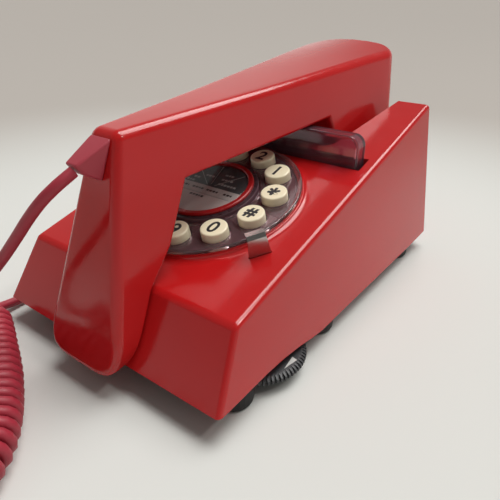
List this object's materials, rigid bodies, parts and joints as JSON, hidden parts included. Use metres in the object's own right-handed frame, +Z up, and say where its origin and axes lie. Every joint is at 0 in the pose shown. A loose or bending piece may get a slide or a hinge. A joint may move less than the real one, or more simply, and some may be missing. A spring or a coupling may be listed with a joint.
{
  "type": "push button desk telephone",
  "caption": "Compact desk telephone: wedge-shaped body with push buttons set in a dial-like ring, cradle plunger, volume thumbwheel and an L-shaped handset lying lengthwise, with curly cord.",
  "frame": {"origin": "middle of the underside of the feet, below the middle of the telephone without its free cord", "axes": "+X to the user's right, +Y from the front (dial end) to the back, +Z up"},
  "size_m": [0.1332, 0.2857, 0.1006],
  "materials": {
    "red_gloss": "high gloss",
    "black_plastic": "satin",
    "rubber": "matte",
    "steel": "zinc plated",
    "mirror_steel": "polished",
    "smoky_clear": "clear smoky plastic",
    "clear": "clear plastic",
    "ivory": "semi gloss",
    "label": "printed card",
    "board": "laminate",
    "silicone": "matte",
    "cord_red": "soft matte"
  },
  "bodies": {
    "base": {"case_shell": "red_gloss", "base_plate": "black_plastic", "foot_front_right": "rubber", "foot_front_left": "rubber", "foot_middle_right": "rubber", "foot_middle_left": "rubber", "foot_rear_right": "rubber", "foot_rear_left": "rubber", "base_screw_front_right": "steel", "base_screw_front_left": "steel", "base_screw_rear_right": "steel", "base_screw_rear_left": "steel", "dial_base": "black_plastic", "dial_ring": "smoky_clear", "key_membrane": "silicone", "key_board": "board", "label_disc": "label", "label_ring": "red_gloss", "label_lens": "clear", "finger_stop": "mirror_steel", "hook_switch": "black_plastic", "main_board": "board", "sounder": "black_plastic", "ballast_weight": "steel", "volume_control": "steel", "line_socket": "black_plastic", "cord_socket": "black_plastic", "cord_coil": "cord_red", "cord_lead": "cord_red", "cord_plug": "cord_red"},
    "button_1": {"button_1": "ivory"},
    "button_2": {"button_2": "ivory"},
    "button_3": {"button_3": "ivory"},
    "button_4": {"button_4": "ivory"},
    "button_5": {"button_5": "ivory"},
    "button_6": {"button_6": "ivory"},
    "button_7": {"button_7": "ivory"},
    "button_8": {"button_8": "ivory"},
    "button_9": {"button_9": "ivory"},
    "button_0": {"button_0": "ivory"},
    "button_hash": {"button_hash": "ivory"},
    "button_star": {"button_star": "ivory"},
    "cradle": {"cradle_plunger": "smoky_clear", "plunger_stem": "black_plastic"},
    "volume_wheel": {"volume_wheel": "black_plastic"},
    "handset": {"handset_shell": "red_gloss", "handset_cover": "red_gloss", "receiver_capsule": "steel", "microphone_capsule": "steel", "handset_screw_front": "steel", "handset_screw_rear": "steel", "strain_relief": "cord_red", "cord_tail": "cord_red"}
  },
  "joints": [
    {"name": "press_1", "type": "slide", "parent": "base", "child": "button_1", "axis": [0, 0.2726, -0.9621], "range_m": [0, 0.0015], "stiffness_N_per_m": 300, "springref_m": -0.001},
    {"name": "press_2", "type": "slide", "parent": "base", "child": "button_2", "axis": [0, 0.2726, -0.9621], "range_m": [0, 0.0015], "stiffness_N_per_m": 300, "springref_m": -0.001},
    {"name": "press_3", "type": "slide", "parent": "base", "child": "button_3", "axis": [0, 0.2726, -0.9621], "range_m": [0, 0.0015], "stiffness_N_per_m": 300, "springref_m": -0.001},
    {"name": "press_4", "type": "slide", "parent": "base", "child": "button_4", "axis": [0, 0.2726, -0.9621], "range_m": [0, 0.0015], "stiffness_N_per_m": 300, "springref_m": -0.001},
    {"name": "press_5", "type": "slide", "parent": "base", "child": "button_5", "axis": [0, 0.2726, -0.9621], "range_m": [0, 0.0015], "stiffness_N_per_m": 300, "springref_m": -0.001},
    {"name": "press_6", "type": "slide", "parent": "base", "child": "button_6", "axis": [0, 0.2726, -0.9621], "range_m": [0, 0.0015], "stiffness_N_per_m": 300, "springref_m": -0.001},
    {"name": "press_7", "type": "slide", "parent": "base", "child": "button_7", "axis": [0, 0.2726, -0.9621], "range_m": [0, 0.0015], "stiffness_N_per_m": 300, "springref_m": -0.001},
    {"name": "press_8", "type": "slide", "parent": "base", "child": "button_8", "axis": [0, 0.2726, -0.9621], "range_m": [0, 0.0015], "stiffness_N_per_m": 300, "springref_m": -0.001},
    {"name": "press_9", "type": "slide", "parent": "base", "child": "button_9", "axis": [0, 0.2726, -0.9621], "range_m": [0, 0.0015], "stiffness_N_per_m": 300, "springref_m": -0.001},
    {"name": "press_0", "type": "slide", "parent": "base", "child": "button_0", "axis": [0, 0.2726, -0.9621], "range_m": [0, 0.0015], "stiffness_N_per_m": 300, "springref_m": -0.001},
    {"name": "press_hash", "type": "slide", "parent": "base", "child": "button_hash", "axis": [0, 0.2726, -0.9621], "range_m": [0, 0.0015], "stiffness_N_per_m": 300, "springref_m": -0.001},
    {"name": "press_star", "type": "slide", "parent": "base", "child": "button_star", "axis": [0, 0.2726, -0.9621], "range_m": [0, 0.0015], "stiffness_N_per_m": 300, "springref_m": -0.001},
    {"name": "handset_lift", "type": "slide", "parent": "base", "child": "handset", "axis": [0, 0, 1], "range_m": [0, 0.05]},
    {"name": "cradle_rise", "type": "slide", "parent": "base", "child": "cradle", "axis": [0, 0, 1], "range_m": [0, 0.004]},
    {"name": "volume_turn", "type": "hinge", "parent": "base", "child": "volume_wheel", "pos_m": [0.03936, -0.04853, 0.0056], "axis": [0, 0, 1], "range_deg": [-135, 135]}
  ],
  "couplings": [
    {"joint": "cradle_rise", "follows": "handset_lift", "ratio": 0.08}
  ]
}
